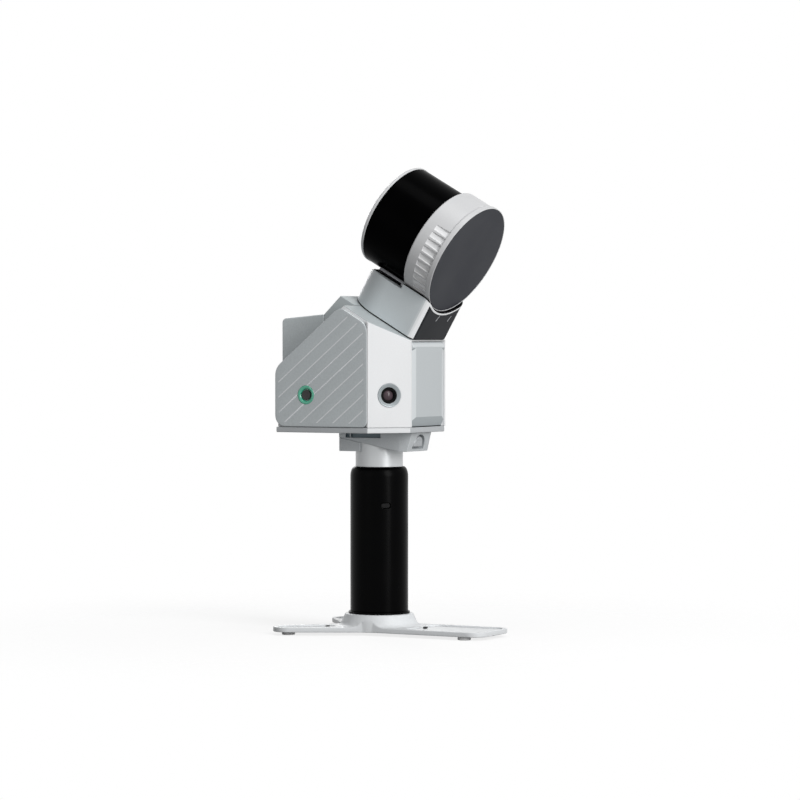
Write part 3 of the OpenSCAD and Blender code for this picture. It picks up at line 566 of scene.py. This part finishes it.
# Rear cover: the deep box that closes the back of the body, held by four black cap screws.
# It is moulded and painted as the side covers are.
body_grey = satin_paint("body_grey_paint", (0.60, 0.645, 0.66), rough=0.5, grain=650.0,
                        spread=0.08, bump=0.45, level=0.3)
back = eased("rear_cover_moulded", merged("rear_cover"), width=1.2)
dressed(back, "stand", "body_grey", body_grey, "rear_cover")
back_screws = screws("rear_cap_screws", "rear_screws", (0, 1, 0), head_r=2.4, head_h=1.6,
                     socket_r=1.3)
dressed(back_screws, "stand", "dark_steel", screw_black, "rear_screws")

# Front cover: a painted door over the ports, on a pin at its top edge, with a bevelled lower lip.
# It is a moulding in a slightly lighter grey than the sides. Its bevels and the round of its pin
# carry a painted highlight and its lip a painted shade; a thin black strip along its lower edge is
# a painted shadow.
# Colours: the lip's painted shade, then the painted highlight; the door's own grey mixes the two.
door_paint = satin_paint("door_grey_paint", (0.36, 0.395, 0.41), rough=0.42, grain=900.0,
                         spread=0.04, mark=(0.70, 0.735, 0.75))
door = eased("front_door", merged("front_cover"), width=0.6, sharp=13)
pin_z = joint_frame("cover_hinge").to_translation().z / MM
# The lip's value gives the painted shade, the bevels' and pin's the painted highlight.
lip_painted_shade, bevel_painted_highlight, face_mark = 0.0, 1.0, 0.56


def door_mark(at, way):
    on_lip = way.z < -0.2 and way.y < -0.5
    on_pin = at.z > pin_z - 0.5
    on_bevel = abs(way.x) > 0.15 and way.y < -0.8
    return lip_painted_shade if on_lip else bevel_painted_highlight if on_pin or on_bevel else face_mark


def thickened(name, mesh, unwanted, thickness):
    """Makes a thin layer, in mm, of a mesh without its unwanted faces."""
    bmesh.ops.delete(mesh, geom=unwanted, context="FACES")
    bmesh.ops.remove_doubles(mesh, verts=mesh.verts, dist=WELD)
    bmesh.ops.solidify(mesh, geom=list(mesh.faces), thickness=-thickness * MM)
    bmesh.ops.recalc_face_normals(mesh, faces=mesh.faces)
    # The tool leaves no fixed order, so corners and faces are sorted along one slanted line.
    order = Vector((1.0, 0.317, 0.0731))
    mesh.verts.sort(key=lambda vert: vert.co.dot(order))
    mesh.faces.sort(key=lambda face: face.calc_center_median().dot(order))
    return smoothed(made(name, mesh))


mark_faces(door, door_mark)
dressed(door, "door", "body_grey", door_paint, "front_cover")
# A thin black strip under the door's lower edge, a painted shadow in the gap above the tray.
shadow_strip_mesh = opened(door.data)
shadow_strip_z = door_lo.z + 0.8
unwanted = [face for face in shadow_strip_mesh.faces
            if face.normal.z > -0.1 or face.calc_center_median().z / MM > shadow_strip_z]
shadow_strip = thickened("door_shadow_strip", shadow_strip_mesh, unwanted, thickness=0.12)
dressed(shadow_strip, "door", "grip_rubber", grip_rubber)

# Cameras: a silver bezel ring in each chamfer, a black barrel with steps inside, and a coated lens.
# All three are turned, so each is a profile spun about the eye's own axis.


def spun(places, profile, steps=96):
    """Spins a profile of radii and heights, in mm, about the Z axis of each place."""
    mesh = bmesh.new()
    for place in places:
        rings = []
        for r, z in profile:
            ring = []
            for i in range(steps if r > 1e-6 else 1):
                a = 2 * math.pi * i / steps
                corner = Vector((r * MM * math.cos(a), r * MM * math.sin(a), z * MM))
                ring.append(mesh.verts.new(place @ corner))
            rings.append(ring)
        for one, two in zip(rings, rings[1:] + rings[:1]):
            for i in range(steps):
                corners = [one[i % len(one)], two[i % len(two)], two[(i + 1) % len(two)],
                           one[(i + 1) % len(one)]]
                corners = list(dict.fromkeys(corners))
                if len(corners) > 2:
                    mesh.faces.new(corners)
    bmesh.ops.recalc_face_normals(mesh, faces=mesh.faces)
    return mesh


def turned(name, mesh):
    return smoothed(made(name, mesh), sharp=30)


eyes, bezel_rise = [], 0.5 * MM
for group in solids("camera_bezels"):
    side = 1 if sum(co.x for co in group) > 0 else -1
    outward = Vector((side, -1, 0)).normalized()
    middle = sum(group, Vector()) / len(group)
    top = max(co.dot(outward) for co in group) - bezel_rise
    eyes.append(facing(middle + outward * (top - middle.dot(outward)), outward, (0, 0, 1)))

bezel_metal = turned_metal("bezel_silver", (0.34, 0.375, 0.39), rough=0.36, lines=2600.0,
                           spread=0.05, metal=0.35)
bezels = turned("eye_bezels", spun(eyes, [
    (7.4, -2.6), (7.4, -0.95), (7.6, -0.75), (9.7, 0.32), (9.95, 0.47), (10.25, 0.5), (10.5, 0.35),
    (10.6, 0.1), (10.6, -2.6)]))
dressed(bezels, "stand", "clamp_metal", bezel_metal, "camera_bezels")
lens_black = dull_rubber("lens_barrel_black", (0.0015, 0.0015, 0.0016), rough=0.4, grain=2500.0,
                         bump=0.2, level=0.05)
barrels = turned("eye_barrels", spun(eyes, [
    (0, -14), (7.2, -14), (7.2, -1.1), (7.0, -0.9), (6.6, -0.9), (6.4, -1.1), (6.1, -1.1),
    (6.1, -1.6), (5.7, -1.6), (5.7, -2.1), (5.3, -2.1), (5.3, -2.6), (4.9, -2.6), (4.65, -3.0),
    (4.65, -10), (0, -10)]))
dressed(barrels, "stand", "lens_black", lens_black, "camera_barrels")


def coated_glass(name):
    material, tree, shader, where = new_finish(
        name, Roughness=0.2, Specular_IOR_Level=0.12, Coat_Weight=0.12, Coat_Roughness=0.1,
        Coat_Tint=(0.85, 0.6, 0.7, 1.0))
    # The glass's dull brown-purple colour is a painted reflection; the coat's tint is the coating's
    # own.
    painted_reflection = noise(tree, where, scale=140.0, detail=2.0)
    tinted(tree, shader, painted_reflection, [(0.35, (0.070, 0.050, 0.058)), (0.65, (0.11, 0.080, 0.092))])
    return material


glass = coated_glass("lens_coated_glass")
dome_r, dome_z = 8.7, -11.4
dome = [(0, -9), (4.6, -9), (4.6, -4.0)]
dome += [(dome_r * math.sin(a), dome_z + dome_r * math.cos(a))
         for a in (0.54, 0.48, 0.40, 0.32, 0.24, 0.16, 0.08)]
lenses = turned("eye_lenses", spun(eyes, dome + [(0, -2.7)]))
dressed(lenses, "stand", "lens_glass", glass, "camera_lenses")

# Power button: a dark round key in a ring of clear green plastic that glows when power is on.
# The ring is moulded with a round top and sits in a hole of the left cover; the key moves by
# itself.


def lit_plastic(name):
    material, tree, shader, where = new_finish(
        name, Roughness=0.18, Coat_Weight=0.6, Emission_Color=(0.05, 0.62, 0.34, 1.0),
        Emission_Strength=0.1)
    cloud = noise(tree, where, scale=320.0, detail=2.0)
    tinted(tree, shader, cloud, [(0.3, (0.02, 0.24, 0.15)), (0.7, (0.05, 0.36, 0.24))])
    return material


ring_lo, ring_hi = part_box("light_ring")
ring_sink = 0.2 * MM
ring_at = Vector((ring_lo.x + ring_sink, (ring_lo.y + ring_hi.y) / 2, (ring_lo.z + ring_hi.z) / 2))
at_ring = facing(ring_at, (-1, 0, 0), (0, 0, 1))
green = lit_plastic("green_light_ring")
glow = turned("power_light_ring", spun([at_ring], [
    (5.3, -3.0), (5.3, -1.3), (5.6, -0.7), (6.1, -0.15), (6.7, 0.25), (7.2, 0.4), (7.7, 0.36),
    (8.2, 0.12), (8.5, -0.3), (8.6, -0.8), (8.6, -3.0)], steps=120))
dressed(glow, "stand", "light_green", green, "light_ring")
key_plastic = dull_rubber("power_key_plastic", (0.022, 0.021, 0.021), rough=0.38, grain=1900.0,
                          bump=0.12, level=0.35)
stem = (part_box("power_button")[1].x - ring_at.x) / MM
key = turned("power_key", spun([at_ring], [
    (0, -stem), (2, -stem), (2, -2.1), (4.5, -2.1), (4.5, -0.7), (4.35, -0.4), (4.0, -0.3),
    (3.6, -0.32), (3.0, -0.45), (2.0, -0.55), (0, -0.6)]))
dressed(key, "power", "black_plastic", key_plastic, "power_button")

# Neck: a light grey moulding that turns on the sloped deck, over a thin black gasket.
# It is cut to a cradle for the scanner, its corners are blunt, and a dark panel fills its face.
# Its faces that turn forward are painted pale, a painted highlight on the front corners.
at_neck = joint_frame("head_turn")
gasket_rubber = dull_rubber("gasket_rubber", (0.012, 0.012, 0.012), rough=0.6, grain=1500.0,
                            bump=0.3)
gasket = eased("neck_gasket_moulded", merged("neck_gasket"), width=0.2)
dressed(gasket, "head", "black_plastic", gasket_rubber, "neck_gasket")
neck_grey = satin_paint("neck_grey_paint", (0.63, 0.68, 0.70), rough=0.42, grain=1200.0,
                        spread=0.04, mark=(0.93, 0.94, 0.95))
neck = eased("neck_moulded", merged("neck_housing"), width=0.5, least=45)
forward = Vector((0, -at_neck[2][2], at_neck[1][2]))
front_from, front_span = 0.05, 0.4
# Faces that turn forward take more of the pale colour, a painted highlight.
mark_faces(neck, lambda at, way: max(0.0, min(1.0, (way.dot(forward) - front_from) / front_span)))
dressed(neck, "head", "neck_grey", neck_grey, "neck_housing")
panel_dark = satin_paint("neck_panel_paint", (0.010, 0.011, 0.0135), rough=0.5, grain=1400.0,
                         spread=0.1, level=0.1)
panel = eased("neck_face_panel", merged("neck_panel"), width=0.3, least=45)
dressed(panel, "head", "dark_panel", panel_dark, "neck_panel")

# Panel marks: two short slanted strokes near the top of the dark panel, to set the head by.
# They are printed in pale grey ink, a hair above the panel's own paint.


def stroke_tree():
    tree, given, result = new_tree("panel_strokes", [
        ("Stroke size", "Vector"), ("Stroke turn", "Rotation")])
    bar = wire(tree, "GeometryNodeMeshCube", {"Size": given["Stroke size"]}).outputs["Mesh"]
    every = repeated(tree, bar, given["Places"], Rotation=given["Stroke turn"])
    tree.links.new(every, result["Result"])
    return tree


ink = satin_paint("pale_ink", (0.45, 0.46, 0.48), rough=0.55, grain=2500.0, spread=0.1)
panel_top = max(vert.co.dot(forward) for vert in cad["neck_panel"].data.vertices)
across = Vector((1, 0, 0))
along = at_neck.to_3x3() @ Vector((0, 0, 1))
lean = math.radians(28)
slant = facing((0, 0, 0), forward, across * math.sin(lean) + along * math.cos(lean)).to_euler()
neck_centre = at_neck.to_translation()
rise = forward * (panel_top - neck_centre.dot(forward))
stroke_places, stroke_height = (-4.4, 17.8), 22.7
spots = [neck_centre + across * x * MM + along * stroke_height * MM + rise for x in stroke_places]
strokes = grown("panel_strokes", points(spots), stroke_tree(), {
    "Stroke size": Vector((6.2, 1.1, 0.08)) * MM, "Stroke turn": slant})
dressed(strokes, "head", "neck_grey", ink)

# Saddle: a dark silver shell on a black pad, screwed into the neck's cradle from inside the roof.
# The shell is turned, with fine lines round the scanner's axis; the pad is soft black rubber whose
# black also stands for the shade in the slot; a thin black sheet on the cradle is a painted shadow.
at_head = joint_frame("scanner_spin")
head_axis = at_head.to_3x3() @ Vector((0, 0, 1))
saddle_metal = turned_metal("saddle_turned", (0.22, 0.225, 0.24), rough=0.36, axis=head_axis,
                            lines=1500.0, spread=0.12, metal=0.6)
shell = eased("saddle_shell_turned", merged("saddle"), width=0.3, least=50)
dressed(shell, "head", "saddle_metal", saddle_metal, "saddle")
# The pad's black rubber also stands for the shade in the slot under the saddle.
mount_rubber = dull_rubber("mount_rubber", (0.002, 0.002, 0.0022), rough=0.7, grain=1500.0,
                           bump=0.3, level=0.03)
pad = eased("mount_pad_moulded", merged("mount_pad"), width=0.25, least=50)
dressed(pad, "head", "pad_rubber", mount_rubber, "mount_pad")
# A thin black sheet over the cradle's faces: a painted shadow in the gap round the drum.
cradle_shadow_paint = dull_rubber("cradle_painted_shadow", (0.004, 0.004, 0.0042), rough=0.9, grain=1800.0, bump=0.4,
                   level=0.03)
shadow_sheet_mesh = opened(neck.data)
to_head = at_head.inverted()
cradle_r, slack = 53.8 * MM, 0.35 * MM
unwanted = [face for face in shadow_sheet_mesh.faces
            if abs((to_head @ face.calc_center_median()).xy.length - cradle_r) > slack]
shadow_sheet = thickened("cradle_shadow_sheet", shadow_sheet_mesh, unwanted, thickness=0.3)
dressed(shadow_sheet, "head", "black_plastic", cradle_shadow_paint)
roof_screws = screws("saddle_cap_screws", "saddle_screws", -along, head_r=2.4, head_h=1.6,
                     socket_r=1.3)
dressed(roof_screws, "head", "dark_steel", screw_black, "saddle_screws")

# Scanner base: the light grey drum behind the window, with cooling pockets round its lower sides.
# It is a casting, turned at the rim; the pockets are milled, deepest at the rim, and their faces
# are painted pale, a painted highlight.


def pocket_tree():
    """Cuts a sloped pocket, wider at its mouth than at its floor, at each flagged point."""
    tree, given, result = new_tree("cooling_pockets", [
        ("Pocket width", "Float"), ("Pocket length", "Float"), ("Pocket height", "Float"),
        ("Floor share", "Float"), ("Floor slope", "Float")])
    flag = wire(tree, "GeometryNodeInputNamedAttribute", {"Name": "pocket"}, data_type="BOOLEAN")
    parts = wire(tree, "GeometryNodeSeparateGeometry", {
        "Geometry": given["Places"], "Selection": flag.outputs[0]}, domain="POINT").outputs
    half_diagonal = 0.5 ** 0.5
    floor_size = maths(tree, "MULTIPLY", given["Floor share"], half_diagonal)
    block = wire(tree, "GeometryNodeMeshCone", {
        "Vertices": 4, "Radius Top": half_diagonal, "Radius Bottom": floor_size,
        "Depth": given["Pocket height"]}).outputs["Mesh"]
    size = vector(tree, X=given["Pocket length"], Y=given["Pocket width"], Z=1.0)
    block = moved(tree, block, Rotation=(0, 0, math.pi / 4))
    block = moved(tree, block, Scale=size)
    block = moved(tree, block, Rotation=(0, math.pi / 2, 0))
    block = moved(tree, block, Rotation=vector(tree, Y=given["Floor slope"]))
    place = tree.nodes.new("GeometryNodeInputPosition").outputs[0]
    level = wire(tree, "ShaderNodeVectorMath", {0: place, 1: (1.0, 1.0, 0.0)},
                 operation="MULTIPLY").outputs[0]
    turn = aligned(tree, level, axis="X", pivot_axis="Z")
    blocks = repeated(tree, block, parts["Selection"], Rotation=turn)
    tree.links.new(cut_out(tree, parts["Inverted"], blocks), result["Result"])
    return tree


drum_paint = satin_paint("scanner_light_paint", (0.64, 0.645, 0.655), rough=0.4, grain=1300.0,
                         spread=0.04, mark=(0.87, 0.875, 0.885))
drum = turned("scanner_drum", spun([Matrix.Identity(4)], [
    (36.0, 12.0), (50.6, 12.0), (51.4, 12.25), (51.9, 12.8), (52.2, 13.6), (52.2, 36.6),
    (52.3, 37.0), (52.75, 37.9), (52.95, 38.3), (53.0, 38.8), (53.0, 42.6), (52.92, 42.88),
    (52.7, 43.0), (52.3, 43.0), (52.3, 39.3), (45.0, 39.3), (45.0, 16.0), (36.0, 16.0)],
    steps=180))
drum_mesh = opened(drum.data)
bpy.data.objects.remove(drum)
flag = drum_mesh.verts.layers.bool.new("pocket")
pocket_z, floor_r = 29.6, 51.0
pocket_count, first_angle, angle_step = 11, 66, 8
for side in (-1, 1):
    for k in range(pocket_count):
        a = math.radians(90 + side * (first_angle + angle_step * k))
        place = Vector((floor_r * math.cos(a), floor_r * math.sin(a), pocket_z)) * MM
        drum_mesh.verts.new(place)[flag] = True
drum = softer(grown("scanner_drum", drum_mesh, pocket_tree(), {
    "Pocket width": 7.2 * MM, "Pocket length": 19.0 * MM, "Pocket height": 3.4 * MM,
    "Floor share": 0.64, "Floor slope": math.radians(-5)}), width=0.2, least=25)
# Faces inside the pockets take the pale colour of the painted highlight.
pocket_reach, wall_in, wall_out = 9, 48, 52
mark_faces(drum, lambda at, way: abs(at.z - pocket_z) < pocket_reach
           and wall_in < at.xy.length < wall_out)
drum.data.transform(at_head)
dressed(drum, "head", "scanner_light", drum_paint, "scanner_base")

# End disc: the dark plate that closes the drum, sunk a little inside its rim.
# It is an alloy pressing with a fine dull black paint.
disc_dark = satin_paint("end_disc_paint", (0.024, 0.026, 0.033), rough=0.5, grain=1800.0,
                        spread=0.1, level=0.15)
disc = eased("end_disc", merged("scanner_disc"), width=0.5, least=50)
dressed(disc, "head", "scanner_dark", disc_dark, "scanner_disc")

# Window: a black infrared glass tube that the beam passes through, round the spinning core.
# It is coated against glare, and it looks black from every side.


def black_glass(name):
    material, tree, shader, where = new_finish(name, Specular_IOR_Level=0.008)
    film = noise(tree, where, scale=45.0, detail=3.0)
    tinted(tree, shader, film, [(0.3, (0.0002, 0.0002, 0.0003)), (0.7, (0.0005, 0.0005, 0.0006))])
    roughened(tree, shader, film, rough=0.24, spread=0.04)
    return material


window_black = black_glass("window_black_glass")
window = eased("scanner_window_tube", merged("scanner_window"), width=0.3, least=50)
dressed(window, "head", "window_black", window_black, "scanner_window")

# Cap: the light grey lid on the front of the window, turned with a soft edge.
# It is held from inside, so nothing shows on its face.
cap = eased("scanner_cap_turned", merged("scanner_cap"), width=0.6, least=35)
dressed(cap, "head", "scanner_light", drum_paint, "scanner_cap")

# Inside pieces and the ports: boards, cells, bearings, motors and plates that the shells cover.
# Each keeps its solid from the model and takes the finish that such a piece really has.
board_green = satin_paint("board_solder_mask", (0.02, 0.14, 0.05), rough=0.35, grain=420.0,
                          spread=0.25)
cell_wrap = satin_paint("cell_shrink_wrap", (0.05, 0.16, 0.34), rough=0.3, grain=300.0, spread=0.1)
copper = turned_metal("copper_winding", (0.62, 0.26, 0.10), rough=0.35, lines=1200.0, spread=0.3)
bright_steel = turned_metal("bright_ground_steel", (0.52, 0.53, 0.54), rough=0.25)
black_plastic = dull_rubber("moulded_black_plastic", (0.02, 0.02, 0.021), rough=0.5, grain=1200.0,
                            bump=0.25)
core_dark = blasted_metal("core_dark_anodised", (0.05, 0.05, 0.054), rough=0.45)
inner = [
    (board_green, ["battery_board", "main_board", "camera_boards"]),
    (cell_wrap, ["battery_cells"]),
    (copper, ["motor_stator"]),
    (bright_steel, ["heat_sink", "chassis", "hinge_pin", "shaft_flange", "neck_bearing",
                    "drive_shaft", "port_sockets"]),
    (black_plastic, ["cell_holders", "handle_plug", "storage_module", "port_panel",
                     "button_switch", "slip_ring"]),
    (screw_black, ["dovetail_plate", "plate_screws", "handle_head", "motor_magnets"]),
    (core_dark, ["scanner_motor", "scanner_core"]),
]
for finish, names in inner:
    for name in names:
        cad[name].data.materials.clear()
        cad[name].data.materials.append(finish)

# Studio: a pale floor that fades into the white surround, one tall soft key light to the right of
# the camera, and weaker lights from the left, from above and from behind.


def seen_rays(tree):
    """Is 1 for what the camera sees, straight or in a reflection, and 0 for lighting."""
    path = tree.nodes.new("ShaderNodeLightPath").outputs
    seen = maths(tree, "MAXIMUM", path["Is Camera Ray"], path["Is Glossy Ray"])
    return maths(tree, "MAXIMUM", seen, path["Is Transmission Ray"])


white = (1.0, 1.0, 1.0, 1.0)
floor_mesh = bmesh.new()
bmesh.ops.create_circle(floor_mesh, cap_ends=True, radius=0.9, segments=96)
floor = made("studio_floor", floor_mesh)
floor_paint, tree, shader, where = new_finish(
    "floor_pale", Roughness=0.9, Specular_IOR_Level=0.0, Emission_Color=white)
grain = noise(tree, where, scale=300.0, detail=2.0)
tinted(tree, shader, grain, [(0.3, (0.26, 0.26, 0.26)), (0.7, (0.27, 0.27, 0.27))])
glow_strength, fade_from, fade_to = 0.79, 0.12, 0.55
tree.links.new(maths(tree, "MULTIPLY", seen_rays(tree), glow_strength),
               shader.inputs["Emission Strength"])
reach = wire(tree, "ShaderNodeVectorMath", {0: where}, operation="LENGTH").outputs["Value"]
fade = wire(tree, "ShaderNodeMapRange", {
    "Value": reach, "From Min": fade_from, "From Max": fade_to, "To Min": 1.0, "To Max": 0.0},
    interpolation_type="SMOOTHSTEP").outputs[0]
tree.links.new(fade, shader.inputs["Alpha"])
floor.data.materials.append(floor_paint)

world = bpy.data.worlds.new("studio_surround")
bpy.context.scene.world = world
world.use_nodes = True
tree = world.node_tree
ambient = 0.20
surround = tree.nodes["Background"].inputs
surround["Color"].default_value = white
tree.links.new(maths(tree, "MULTIPLY_ADD", seen_rays(tree), 1.0 - ambient, ambient),
               surround["Strength"])

aim = Vector((0.0, 0.0, 0.21))


def aimed(name, data, azimuth, elevation, distance):
    """Places a light or a camera round the part, turned towards its middle."""
    thing = bpy.data.objects.new(name, data)
    a, e = math.radians(azimuth), math.radians(elevation)
    away = Vector((math.sin(a) * math.cos(e), -math.cos(a) * math.cos(e), math.sin(e)))
    thing.location = aim + distance * away
    thing.rotation_euler = (aim - thing.location).to_track_quat("-Z", "Y").to_euler()
    bpy.context.scene.collection.objects.link(thing)
    return thing


def soft_light(name, azimuth, elevation, distance, size, power, tall=1.0):
    light = bpy.data.lights.new(name, "AREA")
    light.shape = "ELLIPSE"
    light.size = size
    light.size_y = size * tall
    light.energy = power
    aimed(name, light, azimuth, elevation, distance)


soft_light("key_light", azimuth=-24, elevation=18, distance=2.2, size=0.8, power=38, tall=2.4)
soft_light("left_fill", azimuth=-105, elevation=10, distance=2.4, size=1.4, power=2)
soft_light("top_light", azimuth=-40, elevation=75, distance=2.2, size=1.0, power=10)
soft_light("back_light", azimuth=130, elevation=20, distance=2.4, size=1.2, power=12)

camera_data = bpy.data.cameras.new("photo_view")
camera_data.sensor_width = 36.0
camera_data.lens = 148.0
camera_data.shift_x = 0.0259
camera_data.shift_y = 0.0038
camera_data.clip_end = 20.0
camera = aimed("photo_view", camera_data, azimuth=-61, elevation=1.2, distance=3.0)
bpy.context.scene.camera = camera
bpy.context.scene.view_settings.view_transform = "Standard"
